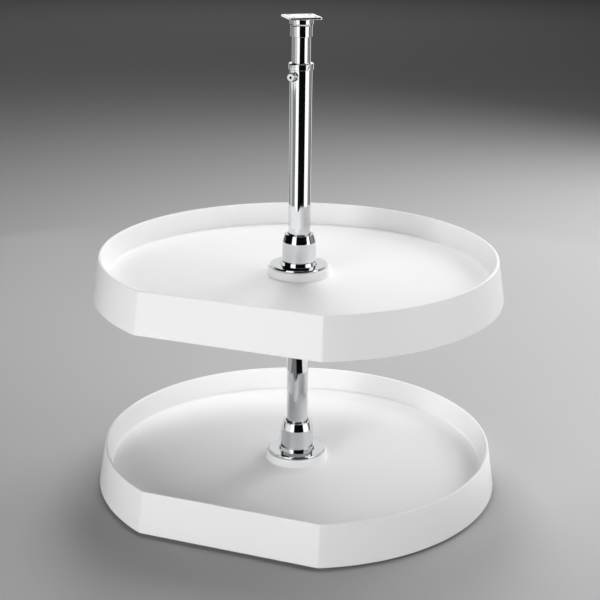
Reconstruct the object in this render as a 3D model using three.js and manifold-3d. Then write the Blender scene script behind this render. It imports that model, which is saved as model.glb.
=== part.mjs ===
// Two-shelf carousel for a corner cabinet: two D-shaped moulded trays turn on a chromed
// telescoping post that stands on the cabinet floor and is screwed to the cabinet top.
// Millimetres, +Z up. The origin is the middle of the post's underside, on the cabinet floor,
// and the flat front of the trays faces -Y.

import * as THREE from 'three';
import { mergeVertices } from 'three/addons/utils/BufferGeometryUtils.js';
import Module from 'manifold-3d';

const wasm = await Module();
wasm.setup();

// ---------------------------------------------------------------- driving dimensions

// fits
const seat = 0.3; // gap left between two pieces that rest on each other
const running = 0.5; // gap round a piece that turns on the post
const sliding = 0.8; // gap between the two tubes of the post

// trays
const trayDiameter = 508; // across the foot of the skirt
const trayFlatDistance = 227.5; // from the post's axis to the foot of the flat front
const trayCornerRadius = 10; // where the flat meets the round
const trayInnerCornerRadius = 4; // the least corner radius inside
const trayHeight = 50.5; // foot of the skirt to the rim
const trayDepth = 28.5; // rim down to the shelf floor
const trayFloorThickness = 3;
const trayWall = 2.6;
const rimWidth = 3.2;
const skirtDraft = 8.4; // how much wider the skirt is at its foot than at the rim
const wallDraft = 5.6; // how much narrower the inside is at the floor than at the rim
const coveRadius = 2.5; // between the inner wall and the floor
const trayFloorClearance = 3; // lower skirt above the cabinet floor
const traySpacing = 248.5; // lower rim to upper rim

// stiffening under the trays
const ribCount = 10;
const ribThickness = 2.4;
const ribDepth = 9;
const ribTipDepth = 5;
const hoopRadius = 140;
const gussetCount = 14; // along the round part of the folded rim
const flatGussetCount = 2; // along the flat part
const gussetThickness = 2;
const gussetLift = 9; // foot of the skirt up to a gusset

// raised seat in the middle of each tray
const bossRadius = 39;
const bossHeight = 10.4; // above the shelf floor
const bossWall = 3;
const bossRound = 1.5;

// chromed hub
const hubFlangeRadius = 36;
const hubFlangeThickness = 2.4;
const hubFlangeDraft = 0.8; // how much narrower the flange is on top
const hubFlangeRound = 0.5;
const hubFootRadius = 23.2; // bevelled foot that the body stands on
const hubFootHeight = 4.8;
const hubFootDraft = 1.4;
const hubFootRound = 0.7;
const hubFootStep = 0.8; // height of the slope from the foot in to the body
const hubBodyRadius = 20.9;
const hubBodyHeight = 31; // flange underside up to the shoulder
const hubBodyDraft = 0.3;
const hubShoulderRound = 0.8;
const hubHeight = 41; // flange underside up to the top
const hubTopRadius = 17.6;
const hubTopRound = 1.2;
const hubTopLip = 8; // thickness of the hub's roof over the bush
const hubSpigotRadius = 24;
const hubSpigotDepth = 5;

// bush and thrust washer that the tray turns on
const bushWall = 2.8;
const bushFlangeRadius = 23;
const bushFlangeThickness = 4;
const washerRadius = 22;
const washerThickness = 3;

// hub screws
const hubScrewCount = 3;
const hubScrewCircle = 29.6; // radius of the circle that they stand on
const hubScrewRadius = 2;
const hubScrewHeadRadius = 3.6;
const hubScrewHeadHeight = 2.2;
const hubScrewHeadRound = 1.2;
const hubScrewGrip = 1.6; // how far a screw goes into the hub

// post
const outerTubeRadius = 13.5;
const outerTubeWall = 1.5;
const innerTubeWall = 1.2;
const innerTubeLength = 300;
const postHeight = 588.5; // cabinet floor to the top of the plate
const plugSkirtHeight = 4; // guide plug below the inner tube
const plugGrip = 12; // guide plug inside the inner tube

// top fitting
const topPlateSide = 40;
const topPlateThickness = 2.5;
const topPlateCorner = 2;
const topPlateAngle = 36; // degrees from the flat front of the trays
const topPlateHoleInset = 7;
const topPlateHoleRadius = 2.2;
const countersinkRadius = 4;
const countersinkDepth = 1.6;
const studRadius = 5;
const lockRingRadius = 14.1;
const lockRingHeight = 7.6;
const lockRingFootInset = 1.2;
const lockRingFootHeight = 1.6;
const lockRingRound = 1;
const socketRadius = 12.9;
const socketHeight = 13;
const socketRoof = 5;

// ferrule at the mouth of the outer tube
const innerTubeReveal = 31; // inner tube in view between the ferrule and the socket
const ferruleHeight = 7.5;
const ferruleRound = 1.2;
const ferruleWall = 1.2;
const ferruleRoof = 1.7;
const guideHeight = 2.7;

// lock screw in the side of the outer tube
const lockScrewDrop = 15.1; // its axis below the top of the ferrule
const lockScrewAngle = 255.5; // degrees round the post, from +X
const lockScrewRadius = 3;
const lockHeadRadius = 5.5;
const lockHeadLength = 5.2;
const lockHeadFlutes = 14;
const lockHeadFluteDepth = 0.45;
const lockBossRadius = 5;
const lockBossReach = 2.5; // beyond the tube's side
const hexSocketRadius = 1.9;
const hexSocketDepth = 2.4;
const shankRoot = 1.3; // how far a screw's shank is rooted in its head

// collar that carries the upper tray, and the base that carries the lower one
const collarRadius = 22;
const collarHeight = 12;
const collarScrewAngle = 90;
const collarHeadRadius = 5;
const collarHeadLength = 5;
const baseRadius = 42;
const baseThickness = 3;
const baseRound = 1;
const baseHoleCount = 4;
const baseHoleCircle = 33;
const baseHoleRadius = 2.5;

// how finely curves are cut into facets
const trayArcFacets = 42;
const trayCornerFacets = 3;
const trayFlatFacets = 7;
const hoopFacets = 24;
const postFacets = 28;
const smallFacets = 10;
const roundStep = Math.PI / 4; // one facet for each 45 degrees of a rounded corner

// ---------------------------------------------------------------- worked-out sizes

const trayRadius = trayDiameter / 2;
const floorTop = trayHeight - trayDepth; // heights inside a tray count from its skirt's foot
const floorBottom = floorTop - trayFloorThickness;
const wallInset = skirtDraft + rimWidth + wallDraft; // skirt foot in to the floor's edge
const bossTop = floorTop + bossHeight;
const bossRoofBottom = bossTop - bossWall;

const hubBase = bossTop + seat;
const hubBottom = bossTop - hubSpigotDepth;
const bushBore = outerTubeRadius + running;
const bushRadius = bushBore + bushWall;
const hubBore = bushRadius + seat;
const hubTop = hubBase + hubHeight;
const hubTopBore = bushBore + seat;
const bushFlangeTop = hubBottom - seat;
const bushFlangeBottom = bushFlangeTop - bushFlangeThickness;
const washerTop = bushFlangeBottom - seat;
const washerBottom = washerTop - washerThickness;
const carrierTop = washerBottom - seat; // top of the collar or base under the washer

const lowerTrayFoot = trayFloorClearance;
const upperTrayFoot = lowerTrayFoot + traySpacing;
const baseTop = lowerTrayFoot + carrierTop;

const outerTubeBore = outerTubeRadius - outerTubeWall;
const innerTubeRadius = outerTubeBore - sliding;
const innerTubeBore = innerTubeRadius - innerTubeWall;
const tubeFit = outerTubeRadius + seat; // bore of what is pushed over the outer tube
const tubeFoot = baseThickness + seat;

const topPlateBottom = postHeight - topPlateThickness;
const lockRingTop = topPlateBottom - seat;
const lockRingBottom = lockRingTop - lockRingHeight;
const socketTop = lockRingBottom - seat;
const socketBottom = socketTop - socketHeight;
const innerTubeTop = socketTop - socketRoof - seat;
const innerTubeFoot = innerTubeTop - innerTubeLength;
const studBottom = socketTop - socketRoof;

const ferruleTop = socketBottom - innerTubeReveal;
const ferruleBottom = ferruleTop - ferruleHeight;
const ferruleRoofBottom = ferruleTop - ferruleRoof;
const guideTop = ferruleRoofBottom - seat;
const guideBottom = guideTop - guideHeight;
const outerTubeTop = guideBottom - seat;
const ferruleRadius = tubeFit + ferruleWall;
const guideBore = innerTubeRadius + seat;

const lockScrewHeight = ferruleTop - lockScrewDrop;
const lockScrewTip = innerTubeRadius + seat;
const lockBossEnd = outerTubeRadius + lockBossReach;
const lockHeadStart = lockBossEnd + seat;

const collarTop = upperTrayFoot + carrierTop;
const collarScrewHeight = collarTop - collarHeight / 2;

// ---------------------------------------------------------------- materials

const finish = (color, roughness, metalness) => ({ color, roughness, metalness });
const whitePolymer = finish(0xf1f1ef, 0.42, 0);
const chrome = finish(0xd8dbde, 0.07, 1);
const zincPlate = finish(0xb8bcc0, 0.32, 1);
const nylon = finish(0xe6e3d8, 0.5, 0);

// ---------------------------------------------------------------- shape helpers

const radians = (degrees) => (degrees * Math.PI) / 180;

// A closed outline from corners [x, y, radius]; each corner with a radius becomes an arc that
// touches both sides. A radius is limited by the shorter side, so that arcs never cross.
function rounded(corners) {
  const points = [];
  corners.forEach(([x, y, radius = 0], i) => {
    const corner = new THREE.Vector2(x, y);
    const before = corners[(i + corners.length - 1) % corners.length];
    const after = corners[(i + 1) % corners.length];
    const toBefore = new THREE.Vector2(before[0], before[1]).sub(corner);
    const toAfter = new THREE.Vector2(after[0], after[1]).sub(corner);
    const room = 0.49 * Math.min(toBefore.length(), toAfter.length());
    toBefore.normalize();
    toAfter.normalize();
    const half = Math.acos(THREE.MathUtils.clamp(toBefore.dot(toAfter), -1, 1)) / 2;
    const reach = Math.min(radius / Math.tan(half), room);
    if (radius === 0 || reach < 1e-3) {
      points.push(corner);
      return;
    }
    const bend = reach * Math.tan(half);
    const middle = toBefore.clone().add(toAfter).setLength(bend / Math.sin(half)).add(corner);
    const start = corner.clone().addScaledVector(toBefore, reach).sub(middle);
    const end = corner.clone().addScaledVector(toAfter, reach).sub(middle);
    const from = Math.atan2(start.y, start.x);
    const turn = Math.atan2(start.cross(end), start.dot(end));
    const steps = Math.max(1, Math.ceil(Math.abs(turn) / roundStep));
    for (let k = 0; k <= steps; k++) {
      const angle = from + (turn * k) / steps;
      points.push(new THREE.Vector2(Math.cos(angle), Math.sin(angle)).multiplyScalar(bend).add(middle));
    }
  });
  return points;
}

// One closed body from a geometry: shared corners merged, flat slivers dropped, faces outwards.
function solidFrom(geometry) {
  const bare = (geometry.index ? geometry : mergeVertices(geometry)).clone();
  for (const name of Object.keys(bare.attributes)) {
    if (name !== 'position') bare.deleteAttribute(name);
  }
  const merged = mergeVertices(bare, 1e-4);
  const at = (i) => new THREE.Vector3().fromBufferAttribute(merged.attributes.position, i);
  const triangles = [];
  let volume = 0;
  for (let i = 0; i < merged.index.count; i += 3) {
    const [a, b, c] = [0, 1, 2].map((k) => merged.index.getX(i + k));
    if (a === b || b === c || c === a) continue;
    triangles.push([a, b, c]);
    volume += at(a).dot(at(b).cross(at(c)));
  }
  if (volume < 0) triangles.forEach((triangle) => triangle.reverse());
  const mesh = new wasm.Mesh({
    numProp: 3,
    vertProperties: new Float32Array(merged.attributes.position.array),
    triVerts: new Uint32Array(triangles.flat()),
  });
  return new wasm.Manifold(mesh);
}

function geometryOf(solid) {
  const mesh = solid.getMesh();
  const geometry = new THREE.BufferGeometry();
  geometry.setAttribute('position', new THREE.BufferAttribute(new Float32Array(mesh.vertProperties), 3));
  geometry.setIndex(new THREE.BufferAttribute(new Uint32Array(mesh.triVerts), 1));
  geometry.computeVertexNormals();
  return geometry;
}

const joined = (solids) => solids.reduce((all, next) => all.add(next));
const cut = (solid, tools) => tools.reduce((rest, tool) => rest.subtract(tool), solid);

// A body of revolution about Z from a closed outline of [radius, height] corners.
function turned(corners, facets = postFacets) {
  const outline = rounded(corners);
  outline.push(outline[0].clone());
  return solidFrom(new THREE.LatheGeometry(outline, facets).rotateX(Math.PI / 2));
}

// A flat outline of [x, y] corners stood up from one height to another.
function extruded(outline, bottom, top) {
  const shape = new THREE.Shape(outline);
  const options = { depth: top - bottom, bevelEnabled: false };
  return solidFrom(new THREE.ExtrudeGeometry(shape, options).translate(0, 0, bottom));
}

// A plain round bar along Z, used as a pin or as a drill.
function bar(radius, bottom, top, facets = smallFacets) {
  const geometry = new THREE.CylinderGeometry(radius, radius, top - bottom, facets);
  return solidFrom(geometry.rotateX(Math.PI / 2).translate(0, 0, (bottom + top) / 2));
}

// Turns something made along +Z so that it points away from the post at an angle and a height.
function pointed(solid, angle, height) {
  return solid.rotate([0, 90, 0]).rotate([0, 0, angle]).translate([0, 0, height]);
}

const around = (count, place) => Array.from({ length: count }, (_, i) => place((360 * i) / count, i));

// ---------------------------------------------------------------- tray

// The D-shaped outline of a tray, moved inwards by an inset: one long arc, two corner arcs and
// the flat between them. Every inset gives the same number of points, so outlines can be joined.
function trayOutline(inset) {
  const radius = trayRadius - inset;
  const flat = trayFlatDistance - inset;
  const corner = Math.max(trayCornerRadius - inset, trayInnerCornerRadius);
  const cornerX = Math.sqrt((radius - corner) ** 2 - (flat - corner) ** 2);
  const cornerY = corner - flat;
  const arcStart = Math.atan2(cornerY, cornerX);
  const arcEnd = Math.PI - arcStart;
  const points = [];
  const arc = (x, y, r, from, to, steps) => {
    for (let k = 0; k < steps; k++) {
      const angle = from + ((to - from) * k) / steps;
      points.push(new THREE.Vector2(x + r * Math.cos(angle), y + r * Math.sin(angle)));
    }
  };
  arc(0, 0, radius, arcStart, arcEnd, trayArcFacets);
  arc(-cornerX, cornerY, corner, arcEnd, 1.5 * Math.PI, trayCornerFacets);
  const flatHalf = Math.atan2(cornerX, flat); // the flat is stepped evenly as seen from the post
  for (let k = 0; k < trayFlatFacets; k++) {
    points.push(new THREE.Vector2(flat * Math.tan(flatHalf * ((2 * k) / trayFlatFacets - 1)), -flat));
  }
  arc(cornerX, cornerY, corner, -0.5 * Math.PI, arcStart, trayCornerFacets);
  return points;
}

// The tray's section runs once round: up the outside of the skirt, over the folded rim, down the
// drafted inner wall and its cove, over the floor and the raised seat to the hub's hole, and back
// underneath. Near the rim a section point is an inset of the outline, [inset, height]; at the
// seat it is a [radius, height] round the post.
function rimSection() {
  const foldTop = trayHeight - rimWidth - trayWall / 2;
  return rounded([
    [wallInset - trayWall, floorBottom],
    [skirtDraft + rimWidth / 2, foldTop],
    [trayWall, 0],
    [0, 0],
    [skirtDraft, trayHeight, rimWidth / 2],
    [skirtDraft + rimWidth, trayHeight, rimWidth / 2],
    [wallInset, floorTop, coveRadius],
    [wallInset + 2 * coveRadius, floorTop],
  ]).slice(0, -1);
}

function seatSection() {
  const hole = hubSpigotRadius + seat;
  return rounded([
    [bossRadius + bossRound, floorTop],
    [bossRadius, floorTop + bossRound],
    [bossRadius - bossRound / 2, bossTop, bossRound],
    [hole, bossTop],
    [hole, bossRoofBottom],
    [bossRadius - bossWall, bossRoofBottom],
    [bossRadius - bossWall, floorBottom],
  ]);
}

function trayShell() {
  const directions = trayOutline(wallInset).map((point) => point.clone().normalize());
  const rings = [
    ...rimSection().map(({ x: inset, y: height }) =>
      trayOutline(inset).map((point) => [point.x, point.y, height])),
    ...seatSection().map(({ x: radius, y: height }) =>
      directions.map((direction) => [radius * direction.x, radius * direction.y, height])),
  ];
  const count = directions.length;
  const index = [];
  rings.forEach((ring, i) => {
    const next = (i + 1) % rings.length;
    for (let k = 0; k < count; k++) {
      const [a, b] = [i * count + k, i * count + ((k + 1) % count)];
      const [c, d] = [next * count + k, next * count + ((k + 1) % count)];
      index.push(a, b, c, b, d, c);
    }
  });
  const geometry = new THREE.BufferGeometry();
  geometry.setAttribute('position', new THREE.Float32BufferAttribute(rings.flat(2), 3));
  geometry.setIndex(index);
  return solidFrom(geometry);
}

// An upright web from a [distance from the post, height] outline, at an angle round the post.
function web(outline, thickness, angle) {
  const shape = new THREE.Shape(outline.map(([x, y]) => new THREE.Vector2(x, y)));
  const geometry = new THREE.ExtrudeGeometry(shape, { depth: thickness, bevelEnabled: false });
  geometry.translate(0, 0, -thickness / 2).rotateX(Math.PI / 2).rotateZ(radians(angle));
  return solidFrom(geometry);
}

// Ribs under the floor: radial ones from the seat to the wall, and a hoop that ties them.
function floorRibs() {
  const into = trayFloorThickness / 2; // how far a rib is rooted in the floor
  const start = bossRadius - bossWall / 2;
  const radial = around(ribCount, (angle) => web([
    [start, floorBottom + into],
    [start, floorBottom - ribDepth],
    [trayRadius, floorBottom - ribTipDepth],
    [trayRadius, floorBottom + into],
  ], ribThickness, angle + 180 / ribCount));
  const hoop = turned([
    [hoopRadius - ribThickness / 2, floorBottom - ribTipDepth],
    [hoopRadius + ribThickness / 2, floorBottom - ribTipDepth],
    [hoopRadius + ribThickness / 2, floorBottom + into],
    [hoopRadius - ribThickness / 2, floorBottom + into],
  ], hoopFacets);
  const inside = extruded(trayOutline(wallInset - trayWall / 2), 0, trayHeight);
  return joined([...radial, hoop]).intersect(inside);
}

// Gussets inside the folded rim, which keep the skirt from being pushed in.
function rimGussets() {
  const lean = (skirtDraft * gussetLift) / trayHeight;
  const section = [
    [lean + trayWall / 2, gussetLift],
    [skirtDraft + rimWidth / 2, trayHeight - rimWidth],
    [wallInset - trayWall / 2, floorBottom + trayFloorThickness / 2],
  ];
  const fromPost = (distance) => section.map(([inset, height]) => [distance - inset, height]);
  const flatHalfAngle = THREE.MathUtils.radToDeg(Math.acos(trayFlatDistance / trayRadius));
  const first = -90 + flatHalfAngle;
  const span = 360 - 2 * flatHalfAngle;
  const solids = [];
  for (let i = 0; i < gussetCount; i++) {
    const angle = first + (span * (i + 0.5)) / gussetCount;
    solids.push(web(fromPost(trayRadius), gussetThickness, angle));
  }
  const flatLength = 2 * Math.sqrt(trayRadius ** 2 - trayFlatDistance ** 2);
  for (let i = 0; i < flatGussetCount; i++) {
    const x = flatLength * ((i + 0.5) / flatGussetCount - 0.5);
    solids.push(web(fromPost(trayFlatDistance), gussetThickness, -90).translate([x, 0, 0]));
  }
  return solids;
}

function trayShape() {
  const body = joined([trayShell(), floorRibs(), ...rimGussets()]);
  const screwHoles = around(hubScrewCount, (angle) =>
    bar(hubScrewRadius + seat, 0, trayHeight)
      .translate([hubScrewCircle, 0, 0]).rotate([0, 0, angle]));
  return cut(body, screwHoles);
}

// ---------------------------------------------------------------- hub and its bearings

// Die-cast and chromed: a thin wide flange on the tray's seat, a bevelled foot, a body that is
// nearly straight and a conical shoulder that closes in on the post.
function hubShape() {
  const flangeTop = hubBase + hubFlangeThickness;
  const footTop = flangeTop + hubFootHeight;
  const body = turned([
    [hubSpigotRadius, hubBase],
    [hubFlangeRadius, hubBase],
    [hubFlangeRadius - hubFlangeDraft, flangeTop, hubFlangeRound],
    [hubFootRadius, flangeTop],
    [hubFootRadius - hubFootDraft, footTop, hubFootRound],
    [hubBodyRadius, footTop + hubFootStep],
    [hubBodyRadius - hubBodyDraft, hubBase + hubBodyHeight, hubShoulderRound],
    [hubTopRadius, hubTop, hubTopRound],
    [hubTopBore, hubTop],
    [hubTopBore, hubTop - hubTopLip],
    [hubBore, hubTop - hubTopLip],
    [hubBore, hubBottom],
    [hubSpigotRadius, hubBottom],
  ]);
  const screwHoles = around(hubScrewCount, (angle) =>
    bar(hubScrewRadius + seat, 0, hubBase + hubScrewGrip + seat)
      .translate([hubScrewCircle, 0, 0]).rotate([0, 0, angle]));
  return cut(body, screwHoles);
}

// Nylon sleeve inside the hub; its flange carries the hub and runs on the washer.
function bushShape() {
  return turned([
    [bushBore, bushFlangeBottom],
    [bushFlangeRadius, bushFlangeBottom],
    [bushFlangeRadius, bushFlangeTop],
    [bushRadius, bushFlangeTop],
    [bushRadius, hubTop - hubTopLip - seat],
    [bushBore, hubTop - hubTopLip - seat],
  ]);
}

const washerShape = () => turned([
  [bushBore, washerBottom],
  [washerRadius, washerBottom],
  [washerRadius, washerTop],
  [bushBore, washerTop],
]);

// Pan-head screw that stands head down and is driven up through the tray into the hub.
function hubScrewShape() {
  const headTop = bossRoofBottom - seat;
  return turned([
    [0, headTop - hubScrewHeadHeight],
    [hubScrewHeadRadius, headTop - hubScrewHeadHeight, hubScrewHeadRound],
    [hubScrewHeadRadius, headTop],
    [hubScrewRadius, headTop],
    [hubScrewRadius, hubBase + hubScrewGrip],
    [0, hubBase + hubScrewGrip],
  ], smallFacets);
}

// ---------------------------------------------------------------- post

const tubeShape = (radius, bore, bottom, top) =>
  turned([[bore, bottom], [radius, bottom], [radius, top], [bore, top]]);

const lockDrill = () =>
  pointed(bar(lockScrewRadius + seat, 0, 2 * outerTubeRadius), lockScrewAngle, lockScrewHeight);

// Round cap over the mouth of the outer tube, with a nylon ring inside that guides the inner one.
function ferruleShape() {
  return turned([
    [tubeFit, ferruleBottom],
    [ferruleRadius, ferruleBottom],
    [ferruleRadius, ferruleTop, ferruleRound],
    [guideBore, ferruleTop],
    [guideBore, ferruleRoofBottom],
    [tubeFit, ferruleRoofBottom],
  ]);
}

const guideRingShape = () => turned([
  [guideBore, guideBottom],
  [outerTubeRadius, guideBottom],
  [outerTubeRadius, guideTop],
  [guideBore, guideTop],
]);

// Plug in the lower end of the inner tube: its skirt slides in the outer tube.
function guidePlugShape() {
  const plugTop = innerTubeFoot + plugGrip;
  const plugRadius = innerTubeBore - seat;
  const skirtRadius = outerTubeBore - seat;
  const skirtTop = innerTubeFoot - seat;
  return turned([
    [0, skirtTop - plugSkirtHeight],
    [skirtRadius, skirtTop - plugSkirtHeight],
    [skirtRadius, skirtTop],
    [plugRadius, skirtTop],
    [plugRadius, plugTop],
    [0, plugTop],
  ]);
}

// Threaded boss on the side of the outer tube, hollowed to sit on the tube's curve.
function lockBossShape() {
  const boss = bar(lockBossRadius, outerTubeBore, lockBossEnd, 2 * smallFacets);
  const placed = pointed(boss, lockScrewAngle, lockScrewHeight);
  return cut(placed, [bar(tubeFit, 0, postHeight, 2 * postFacets), lockDrill()]);
}

const hexSocket = (end) => bar(hexSocketRadius, end - hexSocketDepth, end + hexSocketDepth, 6);

// Thumb screw with a fluted head; its tip presses on the inner tube and holds the height.
function lockScrewShape() {
  const headEnd = lockHeadStart + lockHeadLength;
  const outline = [];
  for (let i = 0; i < 2 * lockHeadFlutes; i++) {
    const radius = lockHeadRadius - (i % 2) * lockHeadFluteDepth;
    const angle = (Math.PI * i) / lockHeadFlutes;
    outline.push(new THREE.Vector2(radius * Math.cos(angle), radius * Math.sin(angle)));
  }
  const head = extruded(outline, lockHeadStart, headEnd).subtract(hexSocket(headEnd));
  const shank = bar(lockScrewRadius, lockScrewTip, lockHeadStart + shankRoot);
  return pointed(head.add(shank), lockScrewAngle, lockScrewHeight);
}

// ---------------------------------------------------------------- collar and base

function collarShape() {
  const ring = turned([
    [tubeFit, collarTop - collarHeight],
    [collarRadius, collarTop - collarHeight],
    [collarRadius, collarTop],
    [tubeFit, collarTop],
  ]);
  const drill = bar(lockScrewRadius + seat, 0, 2 * collarRadius);
  return ring.subtract(pointed(drill, collarScrewAngle, collarScrewHeight));
}

function collarScrewShape() {
  const headStart = collarRadius + seat;
  const headEnd = headStart + collarHeadLength;
  const head = bar(collarHeadRadius, headStart, headEnd, 2 * smallFacets);
  const shank = bar(lockScrewRadius, tubeFit, headStart + shankRoot);
  const screw = head.subtract(hexSocket(headEnd)).add(shank);
  return pointed(screw, collarScrewAngle, collarScrewHeight);
}

// Countersunk hole: the wide end is at the given height, on the side that the head goes in.
function countersunkHole(radius, height, side) {
  const far = height - side * 2 * baseThickness;
  const near = height + side * countersinkDepth;
  return turned([
    [0, far],
    [radius, far],
    [radius, height - side * countersinkDepth],
    [countersinkRadius, height],
    [countersinkRadius, near],
    [0, near],
  ], smallFacets);
}

function baseShape() {
  const body = turned([
    [0, 0],
    [baseRadius, 0],
    [baseRadius, baseThickness, baseRound],
    [washerRadius, baseThickness],
    [washerRadius, baseTop],
    [tubeFit, baseTop],
    [tubeFit, baseThickness],
    [0, baseThickness],
  ]);
  const holes = around(baseHoleCount, (angle) =>
    countersunkHole(baseHoleRadius, baseThickness, 1)
      .translate([baseHoleCircle, 0, 0]).rotate([0, 0, angle + 180 / baseHoleCount]));
  return cut(body, holes);
}

// ---------------------------------------------------------------- top fitting

function topPlateShape() {
  const half = topPlateSide / 2;
  const outline = rounded([
    [-half, -half, topPlateCorner],
    [half, -half, topPlateCorner],
    [half, half, topPlateCorner],
    [-half, half, topPlateCorner],
  ]);
  const reach = half - topPlateHoleInset;
  const holes = [[-1, -1], [1, -1], [1, 1], [-1, 1]].map(([x, y]) =>
    countersunkHole(topPlateHoleRadius, topPlateBottom, -1).translate([x * reach, y * reach, 0]));
  return cut(extruded(outline, topPlateBottom, postHeight), holes).rotate([0, 0, topPlateAngle]);
}

const studShape = () => bar(studRadius, studBottom, topPlateBottom - seat, 2 * smallFacets);

// Turned ring that locks the stud: bevelled below, and a little wider than the socket under it.
const lockRingShape = () => turned([
  [studRadius + seat, lockRingBottom],
  [lockRingRadius - lockRingFootInset, lockRingBottom],
  [lockRingRadius, lockRingBottom + lockRingFootHeight],
  [lockRingRadius, lockRingTop, lockRingRound],
  [studRadius + seat, lockRingTop],
]);

// Cap over the top of the inner tube, with a thick threaded roof for the stud.
const socketShape = () => turned([
  [innerTubeRadius + seat, socketBottom],
  [socketRadius, socketBottom],
  [socketRadius, socketTop],
  [studRadius + seat, socketTop],
  [studRadius + seat, socketTop - socketRoof],
  [innerTubeRadius + seat, socketTop - socketRoof],
]);

// ---------------------------------------------------------------- assembly

const group = new THREE.Group();

function addPiece(parent, name, solid, look) {
  const mesh = new THREE.Mesh(geometryOf(solid), new THREE.MeshStandardMaterial(look));
  mesh.name = name;
  parent.add(mesh);
}

// One turning tray with its hub, bush, washer and screws, its skirt's foot at the given height.
const trayBody = trayShape();
const hubBody = hubShape();
function addTray(prefix, foot) {
  const unit = new THREE.Group();
  unit.position.z = foot;
  addPiece(unit, `${prefix}_tray`, trayBody, whitePolymer);
  addPiece(unit, `${prefix}_hub`, hubBody, chrome);
  addPiece(unit, `${prefix}_hub_bush`, bushShape(), nylon);
  addPiece(unit, `${prefix}_thrust_washer`, washerShape(), nylon);
  around(hubScrewCount, (angle, i) => {
    const screw = hubScrewShape().translate([hubScrewCircle, 0, 0]).rotate([0, 0, angle]);
    addPiece(unit, `${prefix}_hub_screw_${i + 1}`, screw, zincPlate);
  });
  group.add(unit);
}

addPiece(group, 'base_flange', baseShape(), zincPlate);
addPiece(group, 'outer_tube',
  tubeShape(outerTubeRadius, outerTubeBore, tubeFoot, outerTubeTop).subtract(lockDrill()), chrome);
addPiece(group, 'tube_ferrule', ferruleShape(), chrome);
addPiece(group, 'tube_guide_ring', guideRingShape(), nylon);
addPiece(group, 'lock_screw_boss', lockBossShape(), chrome);
addPiece(group, 'lock_screw', lockScrewShape(), chrome);
addPiece(group, 'inner_tube',
  tubeShape(innerTubeRadius, innerTubeBore, innerTubeFoot, innerTubeTop), chrome);
addPiece(group, 'inner_tube_guide_plug', guidePlugShape(), nylon);
addPiece(group, 'top_socket', socketShape(), chrome);
addPiece(group, 'top_lock_ring', lockRingShape(), chrome);
addPiece(group, 'top_stud', studShape(), zincPlate);
addPiece(group, 'top_plate', topPlateShape(), chrome);
addTray('lower', lowerTrayFoot);
addPiece(group, 'shelf_collar', collarShape(), zincPlate);
addPiece(group, 'shelf_collar_screw', collarScrewShape(), zincPlate);
addTray('upper', upperTrayFoot);

export default group;
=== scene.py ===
# %% [markdown]
# Two-shelf corner carousel
#
# A chromed post stands on the floor of a corner cabinet and is screwed to its top. Two
# D-shaped moulded trays turn on it, each on a chromed hub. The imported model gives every
# moving body its place. This script dresses those bodies with finer meshes and real finishes.

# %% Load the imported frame
import math

import bmesh
import bpy
from mathutils import Matrix, Vector


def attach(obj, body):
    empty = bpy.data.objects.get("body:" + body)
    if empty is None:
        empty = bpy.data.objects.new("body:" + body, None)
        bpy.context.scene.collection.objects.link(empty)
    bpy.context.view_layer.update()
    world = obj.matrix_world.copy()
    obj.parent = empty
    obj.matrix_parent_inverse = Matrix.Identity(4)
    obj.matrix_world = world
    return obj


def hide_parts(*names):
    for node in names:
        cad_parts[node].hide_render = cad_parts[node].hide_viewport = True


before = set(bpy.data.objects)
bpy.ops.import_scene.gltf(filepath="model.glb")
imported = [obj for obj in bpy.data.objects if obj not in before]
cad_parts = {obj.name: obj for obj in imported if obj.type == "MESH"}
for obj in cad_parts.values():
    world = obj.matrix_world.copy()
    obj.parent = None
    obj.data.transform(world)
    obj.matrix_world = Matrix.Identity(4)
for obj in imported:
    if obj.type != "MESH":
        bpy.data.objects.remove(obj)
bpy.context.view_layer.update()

scene = bpy.context.scene
MM = 0.001

# %% [markdown]
# Camera
#
# The photograph looks down on the post from a little above it, turned 20.5 degrees from the
# trays' flat front. A camera was fitted to the outlines of both trays and of the post, and
# gave the distance, the height, the pitch and the small roll that are used here.

# %% Place the camera
view_turn = math.radians(20.5)  # round the post, from the flat front
towards_camera = Vector((math.sin(view_turn), -math.cos(view_turn), 0))
camera_right = Vector((math.cos(view_turn), math.sin(view_turn), 0))

camera_distance = 1.613
camera_height = 0.7725
camera_pitch = math.radians(18.32)
camera_roll = math.radians(0.69)
camera_aim = math.radians(0.07)
focal_pixels = 1359
image_pixels = 600

camera_data = bpy.data.cameras.new("studio_camera")
camera_data.sensor_width = 36
camera_data.lens = camera_data.sensor_width * focal_pixels / image_pixels
camera_data.clip_end = 50
camera = bpy.data.objects.new("studio_camera", camera_data)
scene.collection.objects.link(camera)
camera.matrix_world = (
    Matrix.Translation(towards_camera * camera_distance + Vector((0, 0, camera_height)))
    @ Matrix.Rotation(view_turn - camera_aim, 4, "Z")
    @ Matrix.Rotation(math.pi / 2 - camera_pitch, 4, "X")
    @ Matrix.Rotation(camera_roll, 4, "Z")
)
scene.camera = camera
scene.view_settings.view_transform = "Standard"
print("lens:", round(camera_data.lens, 2), "mm")

# %% [markdown]
# Two helpers for node trees
#
# Colours are written as sRGB hex, as a paint chart gives them, and turned to the linear values
# that a renderer counts in. One function adds a node, sets its properties and joins its inputs,
# so that a tree reads as a list of steps.

# %% Colour and node helpers
def linear(hex_colour):
    """An sRGB hex colour as linear RGBA."""
    channels = [int(hex_colour[i:i + 2], 16) / 255 for i in (1, 3, 5)]
    return [c / 12.92 if c <= 0.04045 else ((c + 0.055) / 1.055) ** 2.4 for c in channels] + [1]


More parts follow.
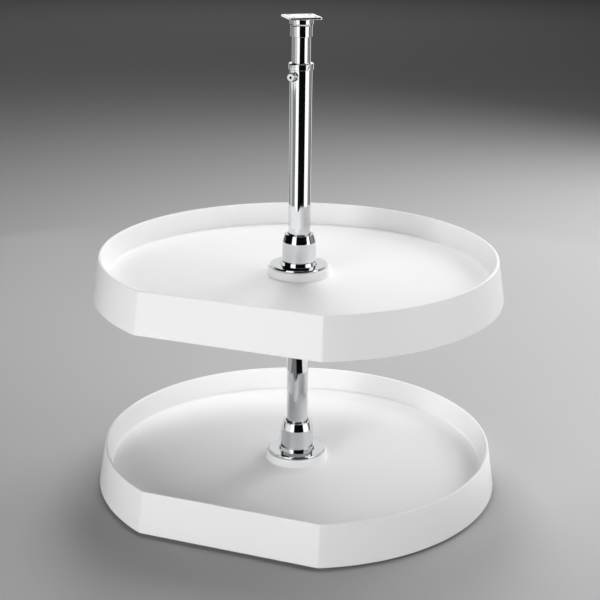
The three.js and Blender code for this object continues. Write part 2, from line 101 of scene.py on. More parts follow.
def add(tree, kind, *values, output=0, inputs={}, **settings):
    """Adds a node. Values and inputs are numbers or other nodes' outputs; returns one output."""
    node = tree.nodes.new(kind)
    for name, value in settings.items():
        setattr(node, name, value)
    for key, value in [*enumerate(values), *inputs.items()]:
        if isinstance(value, bpy.types.NodeSocket):
            tree.links.new(value, node.inputs[key])
        elif value is not None:
            node.inputs[key].default_value = value
    return node.outputs[output] if len(node.outputs) else None


# %% [markdown]
# Moulded polymer
#
# The trays are injection moulded in white ABS. The mould is spark-eroded to a fine satin, which
# hides scratches, so highlights are broad and soft. A very fine grain breaks the gloss, and a
# slower waviness comes from the plastic shrinking over the ribs as it cools.

# %% White ABS
NOISE_LOW, NOISE_HIGH = 0.3, 0.7  # a noise texture's values seldom leave this range
SHRINK_SIZE = 90 * MM  # from one sunk patch over the ribs to the next
SHRINK_DEPTH = 0.05 * MM
GLOSS_SPREAD = 0.04
PLASTIC_IOR = 1.53


def surface(name, colour, roughness, metallic=0.0, ior=None):
    """A new material with its shader's even values set; returns it, its tree and its shader."""
    material = bpy.data.materials.new(name)
    material.use_nodes = True
    shader = material.node_tree.nodes["Principled BSDF"]
    shader.inputs["Base Color"].default_value = linear(colour)
    shader.inputs["Roughness"].default_value = roughness
    shader.inputs["Metallic"].default_value = metallic
    if ior:
        shader.inputs["IOR"].default_value = ior
    return material, material.node_tree, shader


def moulded_plastic(name, colour, roughness, grain_mm, grain_height_mm):
    """A satin plastic with a fine grain and a slow waviness, both in Object coordinates."""
    material, tree, shader = surface(name, colour, roughness, ior=PLASTIC_IOR)
    place = add(tree, "ShaderNodeTexCoord", output=3)
    grain = add(tree, "ShaderNodeTexNoise", inputs={
        "Vector": place, "Scale": 1 / (grain_mm * MM), "Detail": 2.0, "Roughness": 0.6})
    shrink = add(tree, "ShaderNodeTexNoise", inputs={
        "Vector": place, "Scale": 1 / SHRINK_SIZE, "Detail": 1.0})
    gloss = add(tree, "ShaderNodeMapRange", grain, NOISE_LOW, NOISE_HIGH,
                roughness - GLOSS_SPREAD, roughness + GLOSS_SPREAD)
    tree.links.new(gloss, shader.inputs["Roughness"])
    waves = add(tree, "ShaderNodeBump", inputs={
        "Strength": 1.0, "Distance": SHRINK_DEPTH, "Height": shrink})
    relief = add(tree, "ShaderNodeBump", inputs={
        "Strength": 1.0, "Distance": grain_height_mm * MM, "Height": grain, "Normal": waves})
    tree.links.new(relief, shader.inputs["Normal"])
    return material


white_abs = moulded_plastic("moulded_white_abs", "#f3f3f3", 0.42, 0.9, 0.006)
white_nylon = moulded_plastic("moulded_natural_nylon", "#e9e5d8", 0.5, 0.7, 0.008)
print("plastics:", white_abs.name, white_nylon.name)

# %% [markdown]
# Chrome
#
# The tubes are steel and the hubs are zinc castings, all polished, nickel plated and flashed
# with chromium. Chromium is a little darker and bluer than silver. It mirrors the studio, with
# only a trace of polishing haze that changes slowly over the surface.
#
# The small parts that nobody sees are zinc plated: a duller grey with a visible blotchy spangle.

# %% Plated metals
def plated(name, colour, roughness, blotch_mm, spread, relief_mm):
    """A plated metal whose haze changes from blotch to blotch by the spread, up and down."""
    material, tree, shader = surface(name, colour, roughness, metallic=1.0)
    place = add(tree, "ShaderNodeTexCoord", output=3)
    blotches = add(tree, "ShaderNodeTexNoise", inputs={
        "Vector": place, "Scale": 1 / (blotch_mm * MM), "Detail": 3.0})
    haze = add(tree, "ShaderNodeMapRange", blotches, NOISE_LOW, NOISE_HIGH,
               roughness - spread, roughness + spread)
    tree.links.new(haze, shader.inputs["Roughness"])
    relief = add(tree, "ShaderNodeBump", inputs={
        "Strength": 1.0, "Distance": relief_mm * MM, "Height": blotches})
    tree.links.new(relief, shader.inputs["Normal"])
    return material


chrome = plated("polished_chrome_plate", "#dcdee0", 0.045, 14, 0.015, 0.002)
satin_chrome = plated("satin_chrome_plate", "#e4e5e6", 0.2, 5, 0.04, 0.002)
zinc = plated("bright_zinc_plate", "#b4b9bd", 0.34, 4, 0.08, 0.01)
print("metals:", chrome.name, satin_chrome.name, zinc.name)

# %% [markdown]
# Sections
#
# Nearly every piece here has one section that runs round the post. A section is a closed list
# of corners, and each corner may be rounded, as a turning tool or a mould leaves it. A holding
# point just outside each arc keeps the smooth shading of the arc off the long faces beside it.

# %% Rounded sections
ROUND_STEP = math.radians(15)
NEARLY_STRAIGHT = 1.57  # half of a corner's angle past which there is nothing to round
HOLD = 0.4  # from the end of an arc to its holding point, in mm
LEAST_ROOM = 0.1  # with less than this to the middle of the side, no holding point is added


def rounded(corners):
    """Corners (x, y, radius) as a closed outline; each rounded corner becomes an arc."""
    points = []
    for i, (x, y, *rest) in enumerate(corners):
        radius = rest[0] if rest else 0
        corner = Vector((x, y))
        before = Vector(corners[i - 1][:2]) - corner
        after = Vector(corners[(i + 1) % len(corners)][:2]) - corner
        halves = before.length / 2, after.length / 2
        room = 0.98 * min(halves)
        before.normalize()
        after.normalize()
        half = math.acos(max(-1, min(1, before.dot(after)))) / 2
        is_round = radius and half < NEARLY_STRAIGHT
        reach = min(radius / math.tan(half), room) if is_round else 0
        if reach < 1e-4:
            points.append(corner)
            continue
        bend = reach * math.tan(half)
        middle = corner + (before + after).normalized() * bend / math.sin(half)
        start = corner + before * reach - middle
        end = corner + after * reach - middle
        turn = math.atan2(start.x * end.y - start.y * end.x, start.dot(end))
        steps = max(2, math.ceil(abs(turn) / ROUND_STEP))
        first = math.atan2(start.y, start.x)
        angles = [first + turn * k / steps for k in range(steps + 1)]
        arc = [middle + bend * Vector((math.cos(angle), math.sin(angle))) for angle in angles]
        holds = [[corner + side * (reach + min(HOLD, (length - reach) / 2))]
                 if length - reach > LEAST_ROOM else []
                 for side, length in zip((before, after), halves)]
        points += holds[0] + arc + holds[1]
    return points


def outline_object(name, points):
    """A loose line of points, in metres, that a node tree reads a section from."""
    mesh = bpy.data.meshes.new(name)
    mesh.from_pydata([[c * MM for c in point] for point in points], [], [])
    line = bpy.data.objects.new(name, mesh)
    scene.collection.objects.link(line)
    return line


# %% [markdown]
# Turned pieces
#
# A tube, a hub or a washer is a body of revolution. The Screw modifier could spin it, but a node
# tree shows the rule: a grid has one row for each step round the post and one column for each
# section point, and each of its points is moved to its place on the turned surface. Merging
# closes the seam and the poles.

# %% Node tree: a section turned round Z
SEAM = 0.002 * MM  # points nearer than this become one


def new_tree(name, sockets):
    """A geometry tree with the named inputs; returns the tree and its input node's outputs."""
    tree = bpy.data.node_groups.new(name, "GeometryNodeTree")
    tree.interface.new_socket("Geometry", in_out="OUTPUT", socket_type="NodeSocketGeometry")
    for label, kind in sockets:
        tree.interface.new_socket(label, in_out="INPUT", socket_type="NodeSocket" + kind)
    entry = tree.nodes.new("NodeGroupInput")
    return tree, entry.outputs


def section_grid(tree, section, rows):
    """A grid of rows by section points, and the fields a point finds its place from."""
    line = add(tree, "GeometryNodeObjectInfo", section, output=4)
    count = add(tree, "GeometryNodeAttributeDomainSize", line, component="MESH")
    span = add(tree, "ShaderNodeMath", count, 1.0, operation="ADD")
    lines = add(tree, "ShaderNodeMath", rows, 1.0, operation="ADD")
    grid = add(tree, "GeometryNodeMeshGrid", rows, count, lines, span)
    here = add(tree, "GeometryNodeInputPosition")
    apart = add(tree, "ShaderNodeSeparateXYZ", here)
    half = add(tree, "ShaderNodeMath", count, 2.0, operation="DIVIDE")
    shifted = add(tree, "ShaderNodeMath", apart.node.outputs[1], half, operation="ADD")
    whole = add(tree, "ShaderNodeMath", shifted, operation="ROUND")
    index = add(tree, "ShaderNodeMath", whole, count, operation="MODULO")
    point = add(tree, "GeometryNodeSampleIndex", line, here, index, data_type="FLOAT_VECTOR")
    return grid, apart.node.outputs[0], point


def close_and_finish(tree, grid, place, material):
    """Moves the grid to its place, closes it and ends the tree."""
    moved = add(tree, "GeometryNodeSetPosition", grid, None, place)
    merged = add(tree, "GeometryNodeMergeByDistance", moved, None, SEAM)
    real = add(tree, "GeometryNodeRealizeInstances", merged)
    coated = add(tree, "GeometryNodeSetMaterial", real, None, material)
    add(tree, "NodeGroupOutput", coated)


turned_tree, entry = new_tree("turned round the post", [
    ("Section", "Object"), ("Steps", "Int"), ("Material", "Material")])
grid, row, point = section_grid(turned_tree, entry["Section"], entry["Steps"])
turn = add(turned_tree, "ShaderNodeMath", row, entry["Steps"], operation="DIVIDE")
angle = add(turned_tree, "ShaderNodeMath", turn, 2 * math.pi, operation="MULTIPLY")
radius = add(turned_tree, "ShaderNodeSeparateXYZ", point)
flat_point = add(turned_tree, "ShaderNodeCombineXYZ", radius, None, radius.node.outputs[1])
place = add(turned_tree, "ShaderNodeVectorRotate", flat_point, (0, 0, 0), None, angle,
            rotation_type="Z_AXIS")
close_and_finish(turned_tree, grid, place, entry["Material"])
print("nodes in the turning tree:", len(turned_tree.nodes))

# %% [markdown]
# From tree to plain mesh
#
# A tree runs as a modifier on an empty object. Its inputs are set by their identifiers before
# Blender evaluates it. The result is then copied to a plain mesh, whose normals are made to
# point outwards, and the modifier goes away with its object.

# %% Growing, cutting and dressing a piece
SHARP_ANGLE = math.radians(32)  # where faces meet more sharply, the shading breaks


def plain(name, source):
    """A plain mesh object from an evaluated one: closed, clean and facing outwards."""
    mesh = bpy.data.meshes.new_from_object(source)
    mesh.name = name
    bm = bmesh.new()
    bm.from_mesh(mesh)
    bmesh.ops.remove_doubles(bm, verts=bm.verts, dist=SEAM / 2)
    bmesh.ops.delete(bm, geom=[e for e in bm.edges if not e.link_faces], context="EDGES")
    bmesh.ops.delete(bm, geom=[v for v in bm.verts if not v.link_faces], context="VERTS")
    bmesh.ops.recalc_face_normals(bm, faces=bm.faces)
    open_edges = sum(not edge.is_manifold for edge in bm.edges)
    bm.to_mesh(mesh)
    bm.free()
    if open_edges:
        print("  open edges in", name, open_edges)
    piece = bpy.data.objects.new(name, mesh)
    scene.collection.objects.link(piece)
    return piece


def evaluated(holder):
    """The object as its modifiers make it."""
    bpy.context.view_layer.update()
    return holder.evaluated_get(bpy.context.evaluated_depsgraph_get())


def grow(name, tree, **sizes):
    """Runs a tree with its named inputs and returns the result as a plain mesh object."""
    holder = bpy.data.objects.new("holder", bpy.data.meshes.new("holder"))
    scene.collection.objects.link(holder)
    modifier = holder.modifiers.new("tree", "NODES")
    modifier.node_group = tree
    for item in tree.interface.items_tree:
        label = item.name.lower().replace(" ", "_")
        if item.in_out == "INPUT" and label in sizes:
            modifier[item.identifier] = sizes[label]
    piece = plain(name, evaluated(holder))
    bpy.data.objects.remove(holder)
    return piece


def combine(piece, operation, *tools):
    """Joins, cuts or intersects closed pieces, and leaves one plain mesh."""
    for tool in tools:
        modifier = piece.modifiers.new("with tool", "BOOLEAN")
        modifier.operation = operation
        modifier.solver = "MANIFOLD"
        modifier.object = tool
    name = piece.name
    piece.name = "before"
    result = plain(name, evaluated(piece))
    for old in (piece, *tools):
        bpy.data.objects.remove(old)
    return result


def turned(name, corners, steps=64, material=chrome):
    """A section of [radius, height] corners turned round Z."""
    line = outline_object("section", [(p.x, p.y, 0) for p in rounded(corners)])
    piece = grow(name, turned_tree, section=line, steps=steps, material=material)
    bpy.data.objects.remove(line)
    return piece


def move(piece, *steps):
    """Applies the matrices to the mesh itself, the last one first, so the object stays put."""
    whole = Matrix.Identity(4)
    for step in steps:
        whole = whole @ step
    piece.data.transform(whole)
    return piece


def dress(piece, material, body, slot, *nodes):
    """Gives a finished piece its surface, hangs it on the body that it rides on and hides the
    imported parts that it replaces.
    """
    piece.data.materials.clear()
    piece.data.materials.append(material)
    for face in piece.data.polygons:
        face.material_index = 0
    piece.data.shade_smooth()
    piece.data.set_sharp_from_angle(angle=SHARP_ANGLE)
    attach(piece, body)
    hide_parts(*nodes)
    print(f"  {piece.name}: {len(piece.data.polygons)} faces, rides on {body}")
    return piece


def up(height):
    """The matrix that lifts a piece by a height in millimetres."""
    return Matrix.Translation((0, 0, height * MM))


# %% [markdown]
# The tray's outline
#
# A tray seen from above is a D: one long arc, a short flat front, and a small arc at each end of
# the flat. The section is drawn once, and every point of it has an inset, its distance in from
# the outline at the foot of the skirt. The tree works out the D for that inset. It walks round
# by the direction that the wall faces: on the flat this stays the same, on a corner it turns
# round the corner's centre, and on the arc it turns round the post.
#
# Loft surfaces or a curve with a bevel profile could do it too, but a bevel tears itself where
# the inset is larger than the corner's radius.

# %% Node tree: a section run round the D
shell_tree, entry = new_tree("moulded tray shell", [
    ("Section", "Object"), ("Flat steps", "Int"), ("Corner steps", "Int"), ("Arc steps", "Int"),
    ("Radius", "Float"), ("Flat distance", "Float"), ("Corner radius", "Float"),
    ("Least corner", "Float"), ("Material", "Material")])


def calc(operation, *values):
    """One step of arithmetic in the shell's tree."""
    return add(shell_tree, "ShaderNodeMath", *values, operation=operation)


corner_end = calc("ADD", entry["Flat steps"], entry["Corner steps"])
half_rows = calc("ADD", corner_end, entry["Arc steps"])
grid, row, point = section_grid(shell_tree, entry["Section"], calc("MULTIPLY", half_rows, 2.0))
apart = add(shell_tree, "ShaderNodeSeparateXYZ", point)
inset, seat_radius, height = apart.node.outputs
along = calc("ABSOLUTE", row)
on_flat = add(shell_tree, "ShaderNodeMapRange", along, 0.0, entry["Flat steps"])
on_corner = add(shell_tree, "ShaderNodeMapRange", along, entry["Flat steps"], corner_end)
on_arc = add(shell_tree, "ShaderNodeMapRange", along, corner_end, half_rows)

arc_radius = calc("SUBTRACT", entry["Radius"], inset)
corner = calc("MAXIMUM", calc("SUBTRACT", entry["Corner radius"], inset), entry["Least corner"])
corner_y = calc("SUBTRACT", calc("SUBTRACT", entry["Flat distance"], inset), corner)
to_corner = calc("SUBTRACT", arc_radius, corner)
corner_x = calc("SQRT", calc("SUBTRACT", calc("POWER", to_corner, 2.0),
                             calc("POWER", corner_y, 2.0)))
arc_start = calc("ARCTAN2", corner_x, corner_y)
facing = calc("ADD", calc("MULTIPLY", arc_start, on_corner),
              calc("MULTIPLY", calc("SUBTRACT", math.pi, arc_start), on_arc))

past_corner = calc("GREATER_THAN", on_arc, 0.0)
before_arc = calc("SUBTRACT", 1.0, past_corner)
centre_x = calc("MULTIPLY", calc("MULTIPLY", corner_x, on_flat), before_arc)
centre_y = calc("MULTIPLY", corner_y, before_arc)
bend = calc("ADD", calc("MULTIPLY", arc_radius, past_corner),
            calc("MULTIPLY", corner, before_arc))
sideways_by = calc("ADD", centre_x, calc("MULTIPLY", bend, calc("SINE", facing)))
forwards_by = calc("ADD", centre_y, calc("MULTIPLY", bend, calc("COSINE", facing)))
x = calc("MULTIPLY", calc("SIGN", row), sideways_by)
y = calc("MULTIPLY", -1.0, forwards_by)

on_outline = add(shell_tree, "ShaderNodeCombineXYZ", x, y)
outwards = add(shell_tree, "ShaderNodeVectorMath", on_outline, operation="NORMALIZE")
on_seat = add(shell_tree, "ShaderNodeVectorMath", outwards, operation="SCALE",
              inputs={"Scale": seat_radius})
is_seat = add(shell_tree, "FunctionNodeCompare", seat_radius, 0.0, operation="GREATER_THAN")
plan = add(shell_tree, "GeometryNodeSwitch", is_seat, on_outline, on_seat, input_type="VECTOR")
lift = add(shell_tree, "ShaderNodeCombineXYZ", 0.0, 0.0, height)
place = add(shell_tree, "ShaderNodeVectorMath", plan, lift, operation="ADD")
close_and_finish(shell_tree, grid, place, entry["Material"])
print("nodes in the shell's tree:", len(shell_tree.nodes))

# %% [markdown]
# Copies round the post
#
# Ribs, gussets, screws, holes and flutes repeat round an axis or along a line. One tree puts
# copies of a piece on points: the first stands at an angle, and each next one is turned by a
# step and moved by a spacing.

# %% Node tree: copies on a circle or along a line
copies_tree, entry = new_tree("copies in a row", [
    ("Piece", "Object"), ("Count", "Int"), ("First angle", "Float"), ("Step angle", "Float"),
    ("Distance", "Float"), ("Spacing", "Vector"), ("Material", "Material")])
points = add(copies_tree, "GeometryNodeMeshLine", entry["Count"], None, (0, 0, 0), (0, 0, 0))
number = add(copies_tree, "GeometryNodeInputIndex")
turned_by = add(copies_tree, "ShaderNodeMath", number, entry["Step angle"], entry["First angle"],
                operation="MULTIPLY_ADD")
reach = add(copies_tree, "ShaderNodeCombineXYZ", entry["Distance"])
round_post = add(copies_tree, "ShaderNodeVectorRotate", reach, (0, 0, 0), None, turned_by,
                 rotation_type="Z_AXIS")
along_line = add(copies_tree, "ShaderNodeVectorMath", entry["Spacing"], operation="SCALE",
                 inputs={"Scale": number})
spot = add(copies_tree, "ShaderNodeVectorMath", round_post, along_line, operation="ADD")
spread = add(copies_tree, "GeometryNodeSetPosition", points, None, spot)
shape = add(copies_tree, "GeometryNodeObjectInfo", entry["Piece"], output=4)
upright = add(copies_tree, "ShaderNodeCombineXYZ", 0.0, 0.0, turned_by)
copies = add(copies_tree, "GeometryNodeInstanceOnPoints", spread, inputs={
    "Instance": shape, "Rotation": upright})
real = add(copies_tree, "GeometryNodeRealizeInstances", copies)
coated = add(copies_tree, "GeometryNodeSetMaterial", real, None, entry["Material"])
add(copies_tree, "NodeGroupOutput", coated)


def repeated(name, piece, count, first=0.0, step=None, distance=0.0, spacing=0.0,
             material=chrome):
    """Copies of a piece; angles in degrees, lengths in millimetres. The pattern piece goes."""
    step = 360 / count if step is None else step
    row = grow(name, copies_tree, piece=piece, count=count, first_angle=math.radians(first),
               step_angle=math.radians(step), distance=distance * MM,
               spacing=(spacing * MM, 0, 0), material=material)
    bpy.data.objects.remove(piece)
    return row


def block(name, outline, bottom, top):
    """A flat outline of (x, y) points in millimetres, stood up between two heights."""
    bm = bmesh.new()
    face = bm.faces.new([bm.verts.new((x * MM, y * MM, bottom * MM)) for x, y in outline])
    raised = bmesh.ops.extrude_face_region(bm, geom=[face])["geom"]
    corners = [item for item in raised if isinstance(item, bmesh.types.BMVert)]
    bmesh.ops.translate(bm, verts=corners, vec=(0, 0, (top - bottom) * MM))
    bmesh.ops.recalc_face_normals(bm, faces=bm.faces)
    mesh = bpy.data.meshes.new(name)
    bm.to_mesh(mesh)
    bm.free()
    piece = bpy.data.objects.new(name, mesh)
    scene.collection.objects.link(piece)
    return piece


print("nodes in the copying tree:", len(copies_tree.nodes))

# %% [markdown]
# Sizes
#
# The lengths are in millimetres and say what the real pieces measure. Heights inside a tray
# count from the foot of its skirt.

# %% Sizes of the trays and hubs
GAP = 0.3  # between pieces that rest on each other
tray_radius, tray_flat = 253.85, 227.5
tray_corner, least_corner = 10.0, 4.0
tray_height, tray_depth = 50.5, 28.5
floor_thickness, wall, rim_width = 3.0, 2.6, 3.2
skirt_draft, wall_draft, cove = 8.4, 5.6, 2.5
floor_top = tray_height - tray_depth
floor_bottom = floor_top - floor_thickness
wall_inset = skirt_draft + rim_width + wall_draft
boss_radius, boss_height, boss_wall, boss_round = 39.0, 10.4, 3.0, 1.5
boss_top = floor_top + boss_height
boss_roof = boss_top - boss_wall
tray_feet = {"lower": 3.0, "upper": 251.5}

tube_radius, tube_wall = 13.5, 1.5
spigot_radius, spigot_depth = 24.0, 5.0
hub_base = boss_top + GAP
hub_bottom = boss_top - spigot_depth
hub_top = hub_base + 41.0
hub_roof_bottom = hub_top - 8.0
bush_bore = tube_radius + 0.5
bush_radius = bush_bore + 2.8
bush_top = hub_roof_bottom - GAP
hub_bore = bush_radius + GAP
bush_flange_radius, washer_radius = 23.0, 22.0
screw_circle, screw_radius, screw_grip = 29.6, 2.0, 1.6
screw_head_radius, screw_head_height = 3.6, 2.2
bush_flange_top = hub_bottom - GAP
bush_flange_bottom = bush_flange_top - 4.0
washer_top = bush_flange_bottom - GAP
washer_bottom = washer_top - 3.0
carrier_top = washer_bottom - GAP
print("hub from", hub_bottom, "to", hub_top, "mm above the foot of its tray")

# %% [markdown]
# Trays
#
# Each tray is one injection moulding with walls of even thickness. Its rim folds over and comes
# down outside as a skirt, which leans out a little so that the moulding leaves the mould. Inside
# there is a tight cove between wall and floor, and a raised seat for the hub.
#
# Underneath, radial ribs and a hoop carry the load to the seat, and small gussets stand in the
# hollow of the folded rim. They are cut to the wall's shape and joined to the shell, so that the
# tray is one closed mesh.

# %% The tray's shell
def tray_section():
    """The section as (inset, radius of the seat or 0, height) points."""
    rim = rounded([
        (wall_inset - wall, floor_bottom),
        (skirt_draft + rim_width / 2, tray_height - rim_width - wall / 2, 1.0),
        (wall, 0, 0.7), (0, 0, 0.7),
        (skirt_draft, tray_height, rim_width / 2),
        (skirt_draft + rim_width, tray_height, rim_width / 2),
        (wall_inset, floor_top, cove),
        (wall_inset + 4 * cove, floor_top),
    ])
    hole = spigot_radius + GAP
    seat = rounded([
        (boss_radius + 3 * boss_round, floor_top),
        (boss_radius, floor_top, boss_round),
        (boss_radius - boss_round / 2, boss_top, boss_round),
        (hole, boss_top, 0.4), (hole, boss_roof, 0.4),
        (boss_radius - boss_wall, boss_roof, 1.0),
        (boss_radius - boss_wall, floor_bottom),
    ])
    return [(p.x, 0, p.y) for p in rim] + [(wall_inset, p.x, p.y) for p in seat]


def round_the_d(name, points):
    """Runs (inset, seat radius, height) points round the D as a closed white shell."""
    line = outline_object("section", points)
    piece = grow(name, shell_tree, section=line, flat_steps=8, corner_steps=6, arc_steps=110,
                 radius=tray_radius * MM, flat_distance=tray_flat * MM,
                 corner_radius=tray_corner * MM, least_corner=least_corner * MM,
                 material=white_abs)
    bpy.data.objects.remove(line)
    return piece


# %% Ribs, hoop and gussets
rib_count, rib_thickness, rib_depth, rib_end_depth = 10, 2.4, 9.0, 5.0
hoop_radius = 140.0
gusset_count, gusset_thickness, gusset_foot = 14, 2.0, 9.0


def web(name, outline, thickness):
    """An upright plate in the X-Z plane from (distance, height) points, standing at angle 0."""
    plate = block(name, outline, -thickness / 2, thickness / 2)
    return move(plate, Matrix.Rotation(math.pi / 2, 4, "X"))


def floor_ribs():
    """Ribs and a hoop as one closed mesh, ended inside the wall that they run into."""
    root = floor_bottom + floor_thickness / 2
    tip = floor_bottom - rib_end_depth
    start = boss_radius - boss_wall / 2
    rib = web("rib", [(start, root), (start, floor_bottom - rib_depth), (tray_radius, tip),
                      (tray_radius, root)], rib_thickness)
    ribs = repeated("ribs", rib, rib_count, first=180 / rib_count, material=white_abs)
    near, far = hoop_radius - rib_thickness / 2, hoop_radius + rib_thickness / 2
    hoop = turned("hoop", [(near, tip, 0.6), (far, tip, 0.6), (far, root), (near, root)],
                  steps=128, material=white_abs)
    edge = wall_inset - wall / 2
    pole = 0.0005  # close to the axis, but not 0, which would put the point on the outline
    inside = round_the_d("inside", [(edge, 0, 0), (edge, 0, tray_height),
                                    (edge, pole, tray_height), (edge, pole, 0)])
    return combine(combine(ribs, "UNION", hoop), "INTERSECT", inside)


def rim_gussets():
    """The gussets in the hollow of the rim: those round the arc, and two along the flat."""
    lean = skirt_draft * gusset_foot / tray_height
    section = [(lean + wall / 2, gusset_foot),
               (skirt_draft + rim_width / 2, tray_height - rim_width),
               (wall_inset - wall / 2, floor_bottom + floor_thickness / 2)]
    half_flat = math.degrees(math.acos(tray_flat / tray_radius))
    step = (360 - 2 * half_flat) / gusset_count
    gusset = web("gusset", [(tray_radius - i, h) for i, h in section], gusset_thickness)
    round_part = repeated("gussets", gusset, gusset_count, first=-90 + half_flat + step / 2,
                          step=step, material=white_abs)
    flat_length = 2 * math.sqrt(tray_radius ** 2 - tray_flat ** 2)
    gusset = web("gusset", [(tray_flat - i, h) for i, h in section], gusset_thickness)
    move(gusset, Matrix.Translation((-flat_length / 4 * MM, 0, 0)),
         Matrix.Rotation(-math.pi / 2, 4, "Z"))
    flat_part = repeated("front_gussets", gusset, 2, step=0, spacing=flat_length / 2,
                         material=white_abs)
    return round_part, flat_part


# %% Two trays from one pattern
def seat_holes(bottom, top):
    """The shape of the three screw holes in a seat or a hub's flange."""
    drill = turned("drill", [(0, bottom), (screw_radius + GAP, bottom),
                             (screw_radius + GAP, top), (0, top)], steps=24)
    return repeated("drills", drill, 3, distance=screw_circle)


tray_pattern = combine(round_the_d("tray", tray_section()), "UNION", floor_ribs(), *rim_gussets())
tray_pattern = combine(tray_pattern, "DIFFERENCE", seat_holes(0, tray_height))
for level, foot in tray_feet.items():
    tray = bpy.data.objects.new(f"{level}_moulded_tray", tray_pattern.data.copy())
    scene.collection.objects.link(tray)
    move(tray, up(foot))
    dress(tray, white_abs, f"{level}_shelf", "white_polymer", f"{level}_tray")
bpy.data.objects.remove(tray_pattern)

# %% [markdown]
# Hubs
#
# The hub is a zinc die casting, turned, polished and chromed. A thin wide flange sits on the
# tray's seat. Above it come a bevelled foot, a body that is nearly straight and a conical
# shoulder that closes in on the post. The flange's top is flat and mirrors the foot, so the foot
# looks twice as high. Three screws come up through the tray into the flange. A nylon bush in the
# bore turns on the post, and a washer below the bush takes the weight.

# %% Sections of the hub, the bush and the washer
flange_top = hub_base + 2.4
foot_top = flange_top + 4.8
shoulder_bottom = hub_base + 31.0
hub_mouth = bush_bore + GAP
hub_profile = [
    (spigot_radius, hub_base, 0.3), (36.0, hub_base, 0.4), (35.2, flange_top, 0.5),
    (23.2, flange_top, 0.15), (21.9, foot_top, 0.6), (21.3, foot_top + 0.5, 0.3),
    (20.6, shoulder_bottom, 0.8), (17.6, hub_top, 0.9), (hub_mouth, hub_top, 0.4),
    (hub_mouth, hub_roof_bottom), (hub_bore, hub_roof_bottom), (hub_bore, hub_bottom, 0.4),
    (spigot_radius, hub_bottom, 0.6),
]
bush_profile = [
    (bush_bore, bush_flange_bottom, 0.4), (bush_flange_radius, bush_flange_bottom, 0.5),
    (bush_flange_radius, bush_flange_top, 0.5), (bush_radius, bush_flange_top),
    (bush_radius, bush_top, 0.5), (bush_bore, bush_top, 0.5),
]
washer_profile = [
    (bush_bore, washer_bottom, 0.3), (washer_radius, washer_bottom, 0.5),
    (washer_radius, washer_top, 0.5), (bush_bore, washer_top, 0.3),
]


# %% Screws, and the four pieces on each level
slot_reach, slot_half_width, slot_depth = 1.9, 0.45, 1.3  # of the cross in a screw's head


def hub_screws(name):
    """Three pan-head screws with a cross recess, heads down."""
    head_top = boss_roof - GAP
    head_bottom = head_top - screw_head_height
    screw_top = hub_base + screw_grip
    screw = turned("screw", [
        (0, head_bottom), (screw_head_radius, head_bottom, 1.2),
        (screw_head_radius, head_top, 0.2), (screw_radius, head_top),
        (screw_radius, screw_top, 0.4), (0, screw_top)], steps=24, material=zinc)
    slots = [block("slot", [(-a, -b), (a, -b), (a, b), (-a, b)],
                   head_bottom - 1, head_bottom + slot_depth)
             for a, b in ((slot_reach, slot_half_width), (slot_half_width, slot_reach))]
    screw = combine(screw, "DIFFERENCE", *slots)
    return repeated(name, screw, 3, distance=screw_circle, material=zinc)


for level, foot in tray_feet.items():
    shelf = f"{level}_shelf"
    hub = combine(turned(f"{level}_chromed_hub", hub_profile, steps=96), "DIFFERENCE",
                  seat_holes(hub_bottom, hub_base + screw_grip + GAP))
    dress(move(hub, up(foot)), chrome, shelf, "chromed_steel", f"{level}_hub")
    bush = turned(f"{level}_bush", bush_profile, material=white_nylon)
    dress(move(bush, up(foot)), white_nylon, shelf, "nylon", f"{level}_hub_bush")
    screws = hub_screws(f"{level}_seat_screws")
    dress(move(screws, up(foot)), zinc, shelf, "zinc_plated_steel",
          *[f"{level}_hub_screw_{i}" for i in (1, 2, 3)])
    washer = turned(f"{level}_washer", washer_profile, material=white_nylon)
    carrier = "root" if level == "lower" else "shelf_carrier"
    dress(move(washer, up(foot)), white_nylon, carrier, "nylon", f"{level}_thrust_washer")

# %% [markdown]
# Post
#
# Two chromed tubes slide in each other. A turned ferrule caps the wide one and holds a nylon ring
# that guides the narrow one, and a plug does the same at its lower end. At the top a socket, a
# lock ring and a stud carry the plate that is screwed to the cabinet. A real tube's cut ends are
# deburred, and the thin bright line of that small round tells the eye where two tubes meet.

# %% Heights up the post, from the plate down
plate_bottom, plate_top = 586.0, 588.5
cap_radius, ring_radius, ring_height, ring_bevel = 12.9, 14.1, 7.6, 1.6
ring_top = plate_bottom - GAP
ring_bottom = ring_top - ring_height
socket_height, socket_roof = 13.0, 5.0
socket_top = ring_bottom - GAP
socket_bottom = socket_top - socket_height

slide_gap, inner_wall, inner_length, bare_length = 0.8, 1.2, 300.0, 31.0
tube_bore = tube_radius - tube_wall
inner_radius = tube_bore - slide_gap
inner_bore = inner_radius - inner_wall
inner_top = socket_top - socket_roof - GAP
inner_foot = inner_top - inner_length

ferrule_height, ferrule_lip, ferrule_wall, guide_height = 7.5, 1.7, 1.2, 2.7
ferrule_top = socket_bottom - bare_length
ferrule_bottom = ferrule_top - ferrule_height
lip_bottom = ferrule_top - ferrule_lip
guide_top = lip_bottom - GAP
guide_bottom = guide_top - guide_height
tube_top = guide_bottom - GAP
tube_foot = 3.3

sleeve = tube_radius + GAP  # bore of what goes round the outer tube
inner_sleeve = inner_radius + GAP
side_screw_radius = 3.0
lock_height = ferrule_top - 15.1
lock_angle = math.radians(255.5)
print("outer tube's top at", tube_top, "mm, inner tube's at", inner_top, "mm")


# %% Two tubes
def sideways(piece, angle, height):
    """Turns a piece made along +Z so that it points away from the post."""
    return move(piece, up(height), Matrix.Rotation(angle, 4, "Z"),
                Matrix.Rotation(math.pi / 2, 4, "Y"))


def rod(name, radius, bottom, top, steps=32, edge=0.0):
    """A solid bar along Z."""
    return turned(name, [(0, bottom), (radius, bottom, edge), (radius, top, edge), (0, top)],
                  steps)


